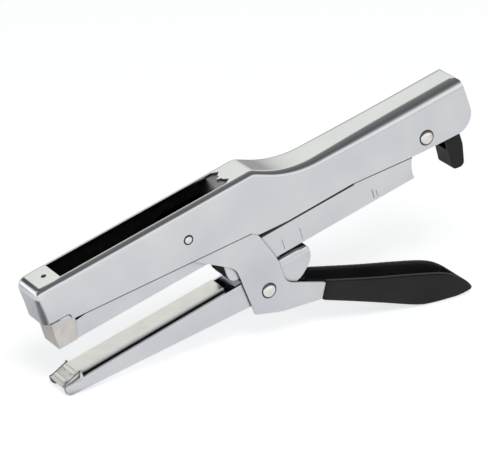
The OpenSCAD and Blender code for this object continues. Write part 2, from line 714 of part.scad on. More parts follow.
module grip_sleeve() color("#23262c") {
    plates(lever_half, grip_half) polygon(rounded(handle_corners(0)));
    plates(lever_inner, lever_half + vinyl/2) grip_rim();
    across(-lever_inner - lever_sheet/2, lever_inner + lever_sheet/2)
        lower_band(0, vinyl, on_handle(0, -3.9), on_handle(0, vinyl - 4.1), 0.6);
}

module main_rivet() color("silver") rivet(main_pivot, rivet_r, lever_half, rivet_head_r, rivet_head_h);

module main_bush() color("gray") difference() {
    bar(main_pivot, rivet_r + 0.8, side_gap - arm_inner, arm_inner - side_gap);
    bore(main_pivot, rivet_r);
}

lever_leg = [web_end - 1.6, web_top(web_end - 1.6) + 0.95];
lever_leg_rear = [116, -41.2];

// Torsion spring that opens the lever: one leg on the edge of the arm's web, one on the lever's web
module lever_spring() color("silver")
    torsion(main_pivot, rivet_r + 1.7, lever_wire_r, lever_wire_r, torsion_end, 4, lever_leg, lever_leg_rear);

// ---------- release latch at the tail ----------

latch_leg = [201, 3.5];
latch_leg_web = [212.9, -9];

latch_half = channel_inner - 0.9;
latch_wall_y = latch_half - 1.3;
latch_corners = [
    [203.5, 4.5, 1], [203.5, -2, 2], [207.2, -6, 4], [206.8, -22, 2.5],
    [213.2, -23, 2.5], [215.2, -12, 8], [214.4, 2, 2], [209.5, 5.5, 2]];
latch_hollow = [
    [200, 8], [200, -10.5], [209.5, -12], [213.5, -13.5], [213.4, -11], [212.8, 1], [211, 8]];

module release_latch() color("#1c1c1c") difference() {
    across(-latch_half, latch_half) polygon(rounded(latch_corners));
    across(-latch_wall_y, latch_wall_y) polygon(latch_hollow);
    bore(latch_pivot, latch_pin_r + pin_fit);
}

module latch_pin() color("silver") bar(latch_pivot, latch_pin_r, -arm_half, arm_half);

module latch_spring() color("silver")
    torsion(latch_pivot, latch_pin_r + 0.9, 0.35, -3, 3, 5, latch_leg, latch_leg_web);

stand() cover();
stand() driver_blade();
stand() drive_leaf();
stand() leaf_anchor();
stand() driver_pin();
stand() cross_rivet();
stand() rear_rivet();
stand() body_channel();
stand() magazine();
stand() nose_guide();
stand() staple_rail();
stand() staple_stick();
stand() magazine_rivets();
stand() throat_plate();
stand() pivot_bracket();
stand() rear_spacer();
stand() spring_stop();
stand() guide_rod();
stand() follower();
stand() pusher_spring();
stand() cover_spring();
stand() anvil_arm();
stand() anvil_plate();
stand() clinch_anvil();
stand() anvil_studs();
stand() arm_pin();
stand() jaw_spring();
stand() lever();
stand() grip_sleeve();
stand() main_rivet();
stand() main_bush();
stand() lever_spring();
stand() release_latch();
stand() latch_pin();
stand() latch_spring();
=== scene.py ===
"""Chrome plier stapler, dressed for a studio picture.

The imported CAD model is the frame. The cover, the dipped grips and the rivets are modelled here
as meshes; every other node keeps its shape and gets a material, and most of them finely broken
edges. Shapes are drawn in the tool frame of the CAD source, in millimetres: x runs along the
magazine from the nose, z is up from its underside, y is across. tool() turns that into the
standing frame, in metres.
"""
import json
import math

import bmesh
import bpy
from mathutils import Matrix, Vector


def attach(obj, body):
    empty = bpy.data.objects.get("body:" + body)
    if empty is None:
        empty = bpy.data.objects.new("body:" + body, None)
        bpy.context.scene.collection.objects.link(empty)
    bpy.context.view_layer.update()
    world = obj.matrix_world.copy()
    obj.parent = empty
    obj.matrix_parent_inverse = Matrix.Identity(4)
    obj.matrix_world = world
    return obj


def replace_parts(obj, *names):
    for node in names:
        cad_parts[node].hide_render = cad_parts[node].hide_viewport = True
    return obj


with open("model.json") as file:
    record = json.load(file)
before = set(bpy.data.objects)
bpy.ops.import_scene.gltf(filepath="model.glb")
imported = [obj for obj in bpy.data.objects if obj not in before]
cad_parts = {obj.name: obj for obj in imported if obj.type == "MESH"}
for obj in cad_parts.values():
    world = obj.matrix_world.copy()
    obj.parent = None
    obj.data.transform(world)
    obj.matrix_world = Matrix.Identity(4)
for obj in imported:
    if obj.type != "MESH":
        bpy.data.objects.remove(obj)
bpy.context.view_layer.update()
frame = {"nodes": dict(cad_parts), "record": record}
JOINTS = {joint["name"]: joint for joint in frame["record"]["behaviour"]["joints"]}
MM = 0.001

# Sizes of the CAD source that the modelled pieces repeat, in millimetres
COVER_TOP = 32.4         # height of the cover's top over the window
TAIL_TOP = 21.8          # height of its top behind the saddle
SHOULDER_X = 108.5       # where the top starts to bend down
SADDLE_SLOPE = math.radians(30)
SHOULDER_R = 6.0
SADDLE_R = 50.0
COVER_AHEAD = 3.5        # how far the cover stands ahead of the magazine
COVER_SHEET = 0.9
WINDOW_X = 11.2
WINDOW_L = 87.0
WINDOW_W = 13.4
PIN_X = 6.5              # the driver pin's hole in the cover's top, and its radius
PIN_HOLE_R = 1.25
HANDLE_START = (128.0, -43.2)
HANDLE_SLOPE = math.radians(30)
HANDLE_L = 80.0
REAR_PIVOT = (196.0, 3.2)
MAIN_PIVOT = (101.0, -26.8)
CROSS_POINT = (71.2, 18.3)
PLATE_HALF = 5.0         # half the width of the anvil's plate

# Half widths over the layers of sheet, from the inside out
MAGAZINE_HALF = 6.1
GUIDE_HALF = 6.7
ARM_HALF = 7.4
LEVER_HALF = 8.65
COVER_HALF = 9.7
GRIP_HALF = 9.75

# The two sides of the tool: the sign of y, and how the names of their pieces end
SIDES = ((-1, "near"), (1, "far"))

# The tool frame in the standing frame: its tilt is that of the follower's slide, and its place
# comes from the rear pivot, on which the cover turns
SLIDE = Vector(JOINTS["follower_slide"]["axis"])
PIVOT = Vector(JOINTS["drive"]["pos_m"])
TILT = Matrix.Rotation(-math.atan2(SLIDE.z, SLIDE.x), 4, "Y")
TOOL = (
    Matrix.Translation(PIVOT)
    @ TILT
    @ Matrix.Translation(Vector((-REAR_PIVOT[0], 0, -REAR_PIVOT[1])) * MM)
)


def tool(x, y, z):
    """A point of the tool frame, in millimetres, as a point of the standing frame, in metres."""
    return TOOL @ (Vector((x, y, z)) * MM)


# ---------------------------------------------------------------- camera

# Distances and the target in metres, the lens in millimetres
CAMERA_AZIMUTH = math.radians(-31.0)
CAMERA_ELEVATION = math.radians(23.58)
CAMERA_DISTANCE = 1.4146
CAMERA_TARGET = Vector((-0.0042, 0, 0.0538))
CAMERA_LENS = 235.6


def make_camera():
    back = Vector((
        math.sin(CAMERA_AZIMUTH) * math.cos(CAMERA_ELEVATION),
        -math.cos(CAMERA_AZIMUTH) * math.cos(CAMERA_ELEVATION),
        math.sin(CAMERA_ELEVATION),
    ))
    data = bpy.data.cameras.new("camera")
    data.lens = CAMERA_LENS
    data.sensor_width = 36
    camera = bpy.data.objects.new("camera", data)
    camera.location = CAMERA_TARGET + back * CAMERA_DISTANCE
    camera.rotation_mode = "QUATERNION"
    camera.rotation_quaternion = (-back).to_track_quat("-Z", "Y")
    bpy.context.collection.objects.link(camera)
    bpy.context.scene.camera = camera


make_camera()


# ---------------------------------------------------------------- materials

# Directions of the tool frame
UP = (0, 0, 1)
BACK = (1, 0, 0)
AHEAD = (-1, 0, 0)
FROM_HEM = (0.0805, 0, 1)        # square to the cover's hem ahead of the lever
FROM_TAIL_HEM = (0.1056, 0, 1)   # square to its hem along the lower channel


class Nodes:
    """A new material with a Principled shader, and short calls that add nodes to it."""

    def __init__(self, name, colour, metallic=0.0, roughness=0.5, **sockets):
        self.material = bpy.data.materials.new(name)
        self.material.use_nodes = True
        self.tree = self.material.node_tree
        self.shader = self.tree.nodes["Principled BSDF"]
        self.shader.inputs["Base Color"].default_value = (*colour, 1)
        self.shader.inputs["Metallic"].default_value = metallic
        self.shader.inputs["Roughness"].default_value = roughness
        for socket, value in sockets.items():
            self.shader.inputs[socket.replace("_", " ")].default_value = value

    def link(self, source, target):
        self.tree.links.new(source, target)

    def place(self, scale=(1, 1, 1)):
        """The point on the object in metres, stretched by scale."""
        coordinates = self.tree.nodes.new("ShaderNodeTexCoord")
        mapping = self.tree.nodes.new("ShaderNodeMapping")
        mapping.inputs["Scale"].default_value = scale
        self.link(coordinates.outputs["Object"], mapping.inputs["Vector"])
        return mapping.outputs["Vector"]

    def noise(self, scale, detail=3.0, stretch=(1, 1, 1), rough=0.5):
        node = self.tree.nodes.new("ShaderNodeTexNoise")
        node.inputs["Scale"].default_value = scale
        node.inputs["Detail"].default_value = detail
        node.inputs["Roughness"].default_value = rough
        self.link(self.place(stretch), node.inputs["Vector"])
        return node.outputs["Fac"]

    def spread(self, factor, low, high, first=0.3, last=0.7):
        """Maps a 0 to 1 factor between first and last onto low to high."""
        node = self.tree.nodes.new("ShaderNodeMapRange")
        node.inputs["From Min"].default_value = first
        node.inputs["From Max"].default_value = last
        node.inputs["To Min"].default_value = low
        node.inputs["To Max"].default_value = high
        self.link(factor, node.inputs["Value"])
        return node.outputs["Result"]

    def blend_colours(self, factor, first, second):
        node = self.tree.nodes.new("ShaderNodeMix")
        node.data_type = "RGBA"
        node.inputs["A"].default_value = (*first, 1)
        node.inputs["B"].default_value = (*second, 1)
        self.link(factor, node.inputs["Factor"])
        return node.outputs["Result"]

    def bump(self, *layers):
        """Adds bump layers, each a (height, strength, distance in metres)."""
        normal = None
        for height, strength, distance in layers:
            node = self.tree.nodes.new("ShaderNodeBump")
            node.inputs["Strength"].default_value = strength
            node.inputs["Distance"].default_value = distance
            self.link(height, node.inputs["Height"])
            if normal:
                self.link(normal, node.inputs["Normal"])
            normal = node.outputs["Normal"]
        self.link(normal, self.shader.inputs["Normal"])

    def math(self, operation, first, second):
        """A maths node on sockets or numbers."""
        node = self.tree.nodes.new("ShaderNodeMath")
        node.operation = operation
        node.use_clamp = operation in ("MULTIPLY", "MAXIMUM")
        for value, socket in zip((first, second), node.inputs):
            if isinstance(value, (int, float)):
                socket.default_value = value
            else:
                self.link(value, socket)
        return node.outputs["Value"]

    def along(self, x, y, z):
        """How far a point lies along a direction of the tool frame, in millimetres."""
        way = TOOL.to_3x3() @ Vector((x, y, z))
        start = TOOL @ Vector((0, 0, 0))
        coordinates = self.tree.nodes.new("ShaderNodeTexCoord")
        node = self.tree.nodes.new("ShaderNodeVectorMath")
        node.operation = "DOT_PRODUCT"
        node.inputs[1].default_value = way / MM
        self.link(coordinates.outputs["Object"], node.inputs[0])
        return self.math("SUBTRACT", node.outputs["Value"], start.dot(way) / MM)

    def crevice(self, reach, darkest):
        """A factor for painted shade: 1 on open faces, down to darkest in the corners between the
        sheets.
        """
        node = self.tree.nodes.new("ShaderNodeAmbientOcclusion")
        node.samples = 8
        node.inputs["Distance"].default_value = reach * MM
        return self.spread(node.outputs["AO"], darkest, 1.0, first=0.35, last=0.86)

    def colour(self, socket):
        self.link(socket, self.shader.inputs["Base Color"])

    def roughness(self, socket):
        self.link(socket, self.shader.inputs["Roughness"])


def chrome(name="chrome", painted_shade_zones=(), fold=None):
    """Polished plate over pressed sheet: faint waves of the pressing, hairline polish marks, and
    painted shade: the colour darkens in the corners between the sheets.

    Each zone is painted near black, as painted shade where the sheet lies in shadow under or
    inside the cover: a list of directions of the tool frame, each with the distance from which
    the zone starts. A fold leans the shading of the flanges' top edge inwards with a bump: where
    it starts, its two heights and how far it leans.
    """
    m = Nodes(name, (0.80, 0.82, 0.86), metallic=1.0, roughness=0.14)
    cloud = m.noise(38, 2.0)
    hair = m.noise(900, 2.0, (1, 1, 14))
    m.roughness(m.spread(cloud, 0.10, 0.20))
    plate = m.blend_colours(m.spread(cloud, 0, 1), (0.73, 0.75, 0.80), (0.84, 0.86, 0.89))
    # Painted shade: ambient occlusion darkens the colour in corners and gaps, and each zone below
    # paints its part near black
    light = m.math("MULTIPLY", m.crevice(5.0, 0.16), m.crevice(1.2, 0.35))
    for zone in painted_shade_zones:
        inside = None
        for direction, start in zone:
            part = m.spread(m.along(*direction), 0, 1, start - 0.15, start + 0.15)
            inside = m.math("MULTIPLY", inside, part) if inside else part
        light = m.math("MULTIPLY", light, m.spread(inside, 1, 0.02, 0, 1))
    shade = m.blend_colours(light, (0.035, 0.035, 0.037), (1, 1, 1))
    m.link(plate, shade.node.inputs["B"])
    m.colour(shade)
    layers = [(m.noise(24, 1.0), 0.10, 0.0004), (hair, 0.02, 0.00002)]
    if fold:
        start, low, high, lean = fold
        height = m.spread(m.along(*UP), 1, 0, low, high)
        behind = m.spread(m.along(*BACK), 0, 1, start - 0.2, start + 0.2)
        layers.append((m.math("MULTIPLY", height, behind), 1.0, lean * MM))
    m.bump(*layers)
    return m.material


def plated(name, dark, light, roughness, grain=(1, 1, 1), metallic=1.0):
    """Plated or drawn steel with a satin grain, and painted shade that darkens its colour in the
    corners.
    """
    m = Nodes(name, light, metallic=metallic, roughness=roughness)
    patches = m.noise(160, 3.0)
    lines = m.noise(1400, 2.0, grain)
    finish = m.blend_colours(m.spread(patches, 0, 1), dark, light)
    # Painted shade: the colour darkens to near black in corners and gaps
    corners = m.blend_colours(m.crevice(3.0, 0.2), (0.03, 0.03, 0.03), light)
    m.link(finish, corners.node.inputs["B"])
    m.colour(corners)
    m.roughness(m.spread(lines, roughness - 0.07, roughness + 0.09))
    m.bump((lines, 0.10, 0.00003), (m.noise(60, 1.0), 0.08, 0.0003))
    return m.material


def lacquer():
    """Black lacquer over a spring strip, a little dusty."""
    m = Nodes("black_lacquer", (0.012, 0.012, 0.013), roughness=0.6, Specular_IOR_Level=0.12)
    dust = m.noise(220, 4.0, rough=0.7)
    m.colour(m.blend_colours(
        m.spread(dust, 0, 1, 0.5, 0.8), (0.004, 0.004, 0.004), (0.014, 0.012, 0.007)))
    m.roughness(m.spread(dust, 0.5, 0.7))
    m.bump((m.noise(900, 2.0), 0.08, 0.00004))
    return m.material


def vinyl():
    """Dipped vinyl: dark, softly glossy, with the slow ripple of a dipped coat."""
    m = Nodes("vinyl", (0.008, 0.008, 0.009), roughness=0.42, Specular_IOR_Level=0.3)
    ripple = m.noise(70, 2.0, (0.6, 1, 1))
    grain = m.noise(2600, 2.0)
    m.colour(m.blend_colours(m.spread(ripple, 0, 1), (0.006, 0.006, 0.007), (0.013, 0.013, 0.015)))
    m.roughness(m.spread(grain, 0.38, 0.50))
    m.bump((ripple, 0.18, 0.0006), (grain, 0.06, 0.00003))
    return m.material


def nylon():
    """Black moulded plastic with a fine spark texture."""
    m = Nodes("black_nylon", (0.006, 0.006, 0.006), roughness=0.46, Specular_IOR_Level=0.3)
    grain = m.noise(2200, 3.0, rough=0.6)
    wear = m.noise(120, 3.0)
    m.colour(m.blend_colours(m.spread(wear, 0, 1), (0.004, 0.004, 0.004), (0.011, 0.011, 0.011)))
    m.roughness(m.spread(wear, 0.34, 0.52))
    m.bump((grain, 0.12, 0.00004))
    return m.material


def headed():
    """Bright headed steel of the rivets, slightly warm."""
    m = Nodes("rivet_steel", (0.95, 0.93, 0.90), metallic=1.0, roughness=0.16)
    patches = m.noise(500, 2.0)
    m.colour(m.blend_colours(m.spread(patches, 0, 1), (0.92, 0.90, 0.87), (0.99, 0.97, 0.95)))
    m.roughness(m.spread(patches, 0.13, 0.21))
    m.bump((m.noise(1200, 2.0), 0.05, 0.00002))
    return m.material


MATERIALS = {
    "chrome_sheet": chrome(),
    "nose_steel": plated("nose_steel", (0.69, 0.665, 0.645), (0.83, 0.805, 0.785), 0.38, (1, 1, 6)),
    "anvil_steel": plated("anvil_steel", (0.83, 0.83, 0.84), (0.91, 0.91, 0.92), 0.27, (8, 1, 1)),
    "zinc_steel": plated("zinc_steel", (0.26, 0.26, 0.27), (0.40, 0.40, 0.40), 0.34, (6, 1, 1)),
    "dark_steel": plated("dark_steel", (0.05, 0.05, 0.055), (0.10, 0.10, 0.105), 0.36, (1, 1, 6)),
    "spring_steel": plated("spring_steel", (0.44, 0.44, 0.45), (0.62, 0.62, 0.62), 0.28, (4, 1, 1)),
    "staple_wire": plated("staple_wire", (0.50, 0.50, 0.51), (0.68, 0.68, 0.69), 0.33, (1, 9, 1)),
    "rivet_steel": headed(),
    "black_lacquer": lacquer(),
    "vinyl": vinyl(),
    "black_nylon": nylon(),
}

# Nodes with a finish of their own. Painted shade turns parts near black where they lie in shadow:
# the lever's head and the magazine under the cover, down to a thin line just below the cover's hem,
# the magazine further back where the gap under the hem shows it, and the lower channel's top edge
# and its ears inside the cover's tail. A bump leans the shading of the arm's flanges inwards at the
# tail, and the anvil's tip is a dull, pale steel.
NODE_MATERIALS = {
    "lever": chrome("lever_chrome", [[(FROM_HEM, 12.0)]]),
    "magazine": chrome("magazine_chrome", [[(FROM_HEM, 10.4)], [(UP, 0.05), (BACK, 96.0)]]),
    "body_channel": chrome("channel_chrome", [
        [(UP, -1.2), (BACK, 103.0), (AHEAD, -156.0)], [(FROM_TAIL_HEM, 15.8), (BACK, 150.0)],
    ]),
    "clinch_anvil": plated(
        "tip_steel", (0.78, 0.78, 0.77), (0.90, 0.90, 0.89), 0.42, metallic=0.25),
    "anvil_arm": chrome("arm_chrome", fold=(109.0, -19.5, -16.6, 0.9)),
}


def paint_nodes():
    """Gives every CAD node its own finish where it has one, and else the material of its slot in
    the record.
    """
    slots = {part["node"]: part["material_slot"] for part in frame["record"]["subparts"]}
    for name, node in frame["nodes"].items():
        material = NODE_MATERIALS.get(name, MATERIALS[slots[name]])
        node.data.materials.clear()
        node.data.materials.append(material)


paint_nodes()


# ---------------------------------------------------------------- small mesh helpers

def linked(name, mesh):
    piece = bpy.data.objects.new(name, mesh)
    bpy.context.collection.objects.link(piece)
    return piece


def new_piece(name, mesh, body, slot):
    """Links a finished mesh as a piece that rides on a body and takes a slot's finish."""
    piece = linked(name, mesh)
    mesh.materials.append(MATERIALS[slot])
    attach(piece, body)
    return piece


def shade_smooth(piece, angle):
    """Smooth faces, with hard edges kept where faces meet at more than the angle in degrees."""
    mesh = piece.data
    for polygon in mesh.polygons:
        polygon.use_smooth = True
    mesh.set_sharp_from_angle(angle=math.radians(angle))


def break_edges(piece, width, segments=2, angle=30.0):
    """A fine bevel on the sharp edges, which catches the light as cut metal does."""
    bevel = piece.modifiers.new("broken_edges", "BEVEL")
    bevel.width = width * MM
    bevel.segments = segments
    bevel.limit_method = "ANGLE"
    bevel.angle_limit = math.radians(angle)
    bevel.harden_normals = False
    bevel.use_clamp_overlap = True


def applied(piece):
    """Replaces a piece's mesh by what its modifiers make of it."""
    evaluated = piece.evaluated_get(bpy.context.evaluated_depsgraph_get())
    mesh = bpy.data.meshes.new_from_object(evaluated)
    piece.modifiers.clear()
    piece.data = mesh


def arc(centre, radius, first, last, steps):
    """Points of an arc in the x-z plane, angles in degrees from +x towards +z."""
    angles = [math.radians(first + (last - first) * i / steps) for i in range(steps + 1)]
    return [
        Vector((centre[0] + radius * math.cos(a), centre[1] + radius * math.sin(a)))
        for a in angles
    ]


def finished_mesh(name, bm):
    """A mesh from what was built in bm, with its faces turned outwards."""
    bmesh.ops.recalc_face_normals(bm, faces=bm.faces)
    mesh = bpy.data.meshes.new(name)
    bm.to_mesh(mesh)
    bm.free()
    return mesh


def bar(name, *ends):
    """A solid between two outlines in the tool frame that have the same number of points."""
    bm = bmesh.new()
    first, second = ([bm.verts.new(tool(*point)) for point in end] for end in ends)
    bm.faces.new(first)
    bm.faces.new(second)
    n = len(first)
    for i in range(n):
        bm.faces.new((first[i], first[(i + 1) % n], second[(i + 1) % n], second[i]))
    return finished_mesh(name, bm)


def plate(name, outline, low, high):
    """A solid: an outline of the tool's x-z plane, from y low to y high."""
    return bar(name, [(x, low, z) for x, z in outline], [(x, high, z) for x, z in outline])


def prism(name, outline, low, high):
    """A solid: an outline of the tool's x-y plane, from height low to height high."""
    return bar(name, [(x, y, low) for x, y in outline], [(x, y, high) for x, y in outline])


def circle(centre, radii, steps):
    """Points round a circle or an ellipse."""
    return [
        (centre[0] + radii[0] * math.cos(math.tau * i / steps),
         centre[1] + radii[1] * math.sin(math.tau * i / steps))
        for i in range(steps)
    ]


def ease(value, low, high):
    """0 below low, 1 above high, and a smooth step between them."""
    t = min(max((value - low) / (high - low), 0.0), 1.0)
    return t * t * (3 - 2 * t)


# ---------------------------------------------------------------- cover

# Where the cover's rough solids and their cutters end, well clear of the finished cover
CUT_AHEAD = -12
CUT_BEHIND = 240
CUT_BELOW = -40
CUT_ABOVE = 40
CUT_HALF = 20
ROUGH_END = 232
ROUGH_BELOW = -45
TAIL_START = 180         # behind the saddle, where the top line is straight again

FRONT_R = 4.6            # the outline's radius where the front turns into the top
EDGE_R = 2.8             # the cross section's radius along the top edges
TAIL_EDGE_GAIN = 2.5     # how much rounder that edge gets at the tail
FRONT_EDGE_R = 2.9       # the same radius at the front
CORNER_GAIN = 1.4        # how much rounder it gets down the upright front corners
FRONT_EDGE_LOSS = 0.5    # and how much sharper on the way back to the window
FRONT_BLEND = 8          # the length over which either happens
SHOULDER = Vector((SHOULDER_X, COVER_TOP - SHOULDER_R))
SLOPE_DROP = COVER_TOP - TAIL_TOP - (SHOULDER_R + SADDLE_R) * (1 - math.cos(SADDLE_SLOPE))
SLOPE_RUN = SLOPE_DROP / math.tan(SADDLE_SLOPE)
SADDLE = Vector((
    SHOULDER_X + (SHOULDER_R + SADDLE_R) * math.sin(SADDLE_SLOPE) + SLOPE_RUN,
    TAIL_TOP + SADDLE_R,
))
TAIL_HEAD = Vector((220.4, TAIL_TOP))
TAIL_HEAD_R = 2.4
TAIL_FOOT = Vector((222.0, -4.1))
TAIL_FOOT_R = 9
HOLLOW_END = 9.0         # the tail is open to the rear below this height

# The cover's lower edge, from the tail to the front
HEM = [(200, -3.0), (190, -2.4), (154, 1.4), (119, 1.3), (104, 2.4), (100.3, 5.0), (9.6, 12.3),
       (9.0, 14.8), (8.0, 15.5), (0.5, 15.6), (-COVER_AHEAD, 15.0)]


def resample(points, step):
    """The same polyline with its long stretches cut into pieces of about step."""
    out = [points[0]]
    for a, b in zip(points, points[1:]):
        n = max(1, round((b - a).length / step))
        out += [a.lerp(b, i / n) for i in range(1, n + 1)]
    return out


def rounded_corner(before, corner, after, radius, steps):
    """Points of the arc that rounds a corner of a polyline."""
    a = (before - corner).normalized()
    b = (after - corner).normalized()
    half = a.angle(b) / 2
    reach = radius / math.tan(half)
    centre = corner + (a + b).normalized() * radius / math.sin(half)
    first = corner + a * reach - centre
    last = corner + b * reach - centre
    return [
        centre + first.lerp(last, i / steps).normalized() * radius
        for i in range(steps + 1)
    ]


def crown_path(inset):
    """The top line of the cover, from below its front to beyond its tail."""
    front_x = inset - COVER_AHEAD
    top = COVER_TOP - inset
    slope = math.degrees(SADDLE_SLOPE)
    path = [Vector((front_x, z)) for z in (ROUGH_BELOW, 0, 14)]
    path += arc((front_x + FRONT_R - inset, top - FRONT_R + inset), FRONT_R - inset, 180, 90, 8)
    path += [Vector((WINDOW_X, top)), Vector((WINDOW_X + WINDOW_L, top))]
    path += arc(SHOULDER, SHOULDER_R - inset, 90, 90 - slope, 6)
    path += arc(SADDLE, SADDLE_R + inset, 270 - slope, 270, 14)
    path += [Vector((ROUGH_END, TAIL_TOP - inset))]
    return resample(path, 3.0)


def edge_radius(point):
    """The cover's edge gets rounder towards the tail, and down its upright front corners."""
    if point.x < FRONT_BLEND:
        down = ease(COVER_TOP - FRONT_R - point.y, 0, FRONT_BLEND)
        return FRONT_EDGE_R + CORNER_GAIN * down - FRONT_EDGE_LOSS * ease(point.x, 0, FRONT_BLEND)
    return EDGE_R + TAIL_EDGE_GAIN * ease(point.x, 100, 195)


def path_normals(path):
    """Unit normals of the outline, pointing into the cover."""
    normals = []
    last = len(path) - 1
    for i in range(len(path)):
        way = (path[min(i + 1, last)] - path[max(i - 1, 0)]).normalized()
        normals.append(Vector((way.y, -way.x)))
    return normals


def crown_solid(name, inset, turns=12):
    """A solid below the top line, with the rounded edges, for the sheet's outside or inside."""
    path = crown_path(inset)
    bm = bmesh.new()
    rows = []
    for point, normal in zip(path, path_normals(path)):
        r = max(edge_radius(point) - inset, 0.4)
        row = []
        for side in (-1, 1):
            quarter = [math.radians(90 * k / turns) for k in range(turns + 1)]
            if side > 0:
                quarter.reverse()
            for a in quarter:
                inside = point + normal * (r * (1 - math.sin(a)))
                row.append(bm.verts.new(tool(
                    inside.x, side * (COVER_HALF - inset - r * (1 - math.cos(a))), inside.y)))
        rows.append(row)
    for row, following in zip(rows, rows[1:]):
        for k in range(len(row) - 1):
            bm.faces.new((row[k], following[k], following[k + 1], row[k + 1]))
    corners = []
    for side, column in ((-1, 0), (1, len(rows[0]) - 1)):
        corner = bm.verts.new(tool(ROUGH_END, side * (COVER_HALF - inset), ROUGH_BELOW))
        corners.append(corner)
        bm.faces.new([row[column] for row in rows] + [corner])
    bm.faces.new(rows[-1] + corners[::-1])
    bm.faces.new(rows[0] + corners[::-1])
    return finished_mesh(name, bm)


def side_outline():
    """The cover in side view, from the front up and over, with the tail's end and the hem."""
    hem = [Vector(p) for p in HEM]
    before = Vector((TAIL_START + 10, TAIL_TOP))
    return (
        [
            Vector((CUT_AHEAD, hem[-1].y)), Vector((CUT_AHEAD, CUT_ABOVE)),
            Vector((TAIL_START, CUT_ABOVE)), Vector((TAIL_START, TAIL_TOP + 6)), before,
        ]
        + rounded_corner(before, TAIL_HEAD, TAIL_FOOT, TAIL_HEAD_R, 8)
        + rounded_corner(TAIL_HEAD, TAIL_FOOT, hem[0], TAIL_FOOT_R, 18) + hem
    )


def hollow_outline():
    """Where the inside of the cover is open, in side view: all but the wall at the tail's end."""
    head = TAIL_HEAD - Vector((COVER_SHEET, 0))
    foot = TAIL_FOOT - Vector((COVER_SHEET, 0))
    low = head.lerp(foot, (TAIL_TOP - HOLLOW_END) / (head.y - foot.y))
    return [
        Vector((CUT_AHEAD, CUT_BELOW)), Vector((CUT_AHEAD, CUT_ABOVE)),
        Vector((TAIL_START, CUT_ABOVE)), Vector((TAIL_START, TAIL_TOP + 2)),
        Vector((head.x, TAIL_TOP + 2)), head, low,
        Vector((CUT_BEHIND, HOLLOW_END)), Vector((CUT_BEHIND, CUT_BELOW)),
    ]


def window_outline():
    """The window with the notched rear edge that the leaf's anchor hooks into."""
    end = WINDOW_X + WINDOW_L
    side = WINDOW_W / 2
    tooth = 2.2
    half = [(end - 1, side), (end + 2, side - tooth), (end, side - 2 * tooth), (end, tooth / 2)]
    return (
        [(WINDOW_X, -side)]
        + [(x, -y) for x, y in half]
        + [(end - 2, 0)]
        + half[::-1]
        + [(WINDOW_X, side)]
    )


def clip(piece, mesh, operation):
    """Cuts a mesh out of the piece, or keeps what both share, and applies it."""
    cutter = linked("cutter", mesh)
    boolean = piece.modifiers.new("clip", "BOOLEAN")
    boolean.operation = operation
    boolean.solver = "EXACT"
    boolean.object = cutter
    applied(piece)
    bpy.data.objects.remove(cutter)


def blacken_inside(piece):
    """Painted shade: the inside of the sheet gets the black material, for the shadow inside the
    cover. Its faces look down, back or towards the middle.
    """
    # The black material stands for the shadow inside the cover: painted shade
    piece.data.materials.append(MATERIALS["black_lacquer"])
    back = TOOL.inverted()
    front = COVER_SHEET - COVER_AHEAD
    for face in piece.data.polygons:
        centre = (back @ face.center) / MM
        normal = back.to_3x3() @ face.normal
        roof = normal.z < -0.3 and centre.z > COVER_TOP - 14
        wall = normal.y * centre.y < -0.3 and abs(centre.y) > COVER_HALF - 2.8
        nose = normal.x > 0.8 and front - 0.2 < centre.x < 1
        if roof or wall or nose:
            face.material_index = 1


def make_cover():
    """The pressed sheet: rounded crown outside and inside, cut to the side view and the window."""
    piece = new_piece("cover_shell", crown_solid("cover_outside", 0), "cover", "chrome_sheet")
    inside = linked("cover_inside", crown_solid("cover_inside", COVER_SHEET))
    clip(inside, plate("open_part", hollow_outline(), -CUT_HALF, CUT_HALF), "INTERSECT")
    clip(piece, plate("side_view", side_outline(), -CUT_HALF, CUT_HALF), "INTERSECT")
    clip(piece, inside.data, "DIFFERENCE")
    bpy.data.objects.remove(inside)
    pin_hole = circle((PIN_X, 0), (PIN_HOLE_R, PIN_HOLE_R), 24)
    for name, outline in (("window", window_outline()), ("pin_hole", pin_hole)):
        clip(piece, prism(name, outline, COVER_TOP - 4, COVER_TOP + 4), "DIFFERENCE")
    blacken_inside(piece)
    break_edges(piece, 0.22, angle=50)
    shade_smooth(piece, 40)
    piece.modifiers.new("flat_sides", "WEIGHTED_NORMAL").keep_sharp = True
    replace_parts(piece, "cover")


make_cover()


# ---------------------------------------------------------------- grips

GRIP_FLOOR = 3.3         # thickness of the coated web at the bottom of the handle
GRIP_INNER = 6.6         # half width of the channel between the coated plates
GRIP_GRAIN = 0.55        # size of the grid that the coat is remeshed on


def on_handle(s, n):
    """A point of the tool frame, s along the handle from its start and n square to it."""
    c, d = math.cos(HANDLE_SLOPE), math.sin(HANDLE_SLOPE)
    return Vector((HANDLE_START[0] + s * c + n * d, HANDLE_START[1] + n * c - s * d))


def rounded_outline(corners, steps=10):
    """A closed outline from corners, each a point and the radius that rounds it."""
    out = []
    n = len(corners)
    for i, (point, radius) in enumerate(corners):
        if radius == 0:
            out.append(point)
        else:
            out += rounded_corner(corners[i - 1][0], point, corners[(i + 1) % n][0], radius, steps)
    return out


# The coat in side view: distance along the handle, and square to it
GRIP_TOP = [(-1.7, 5.4), (15, 6.1), (29, 6.8), (45, 7.9), (58, 8.6), (66, 8.4), (72, 7.1),
            (78, 4.6), (81.0, 2.3)]
GRIP_BOTTOM = [(80.7, 1.0), (75, -1.9), (66, -4.5), (58, -6.2), (50, -6.7), (30, -5.5),
               (15, -4.7), (-1.7, -4.0)]


def flowing(points, steps):
    """A smooth curve through the points, a Catmull-Rom spline."""
    ends = [points[0]] + points + [points[-1]]
    out = [points[0]]
    for a, b, c, d in zip(ends, ends[1:], ends[2:], ends[3:]):
        for i in range(1, steps + 1):
            t = i / steps
            out.append(tuple(
                0.5 * (2 * q + (r - p) * t + (2 * p - 5 * q + 4 * r - w) * t * t
                       + (3 * q - p - 3 * r + w) * t ** 3)
                for p, q, r, w in zip(a, b, c, d)))
    return out


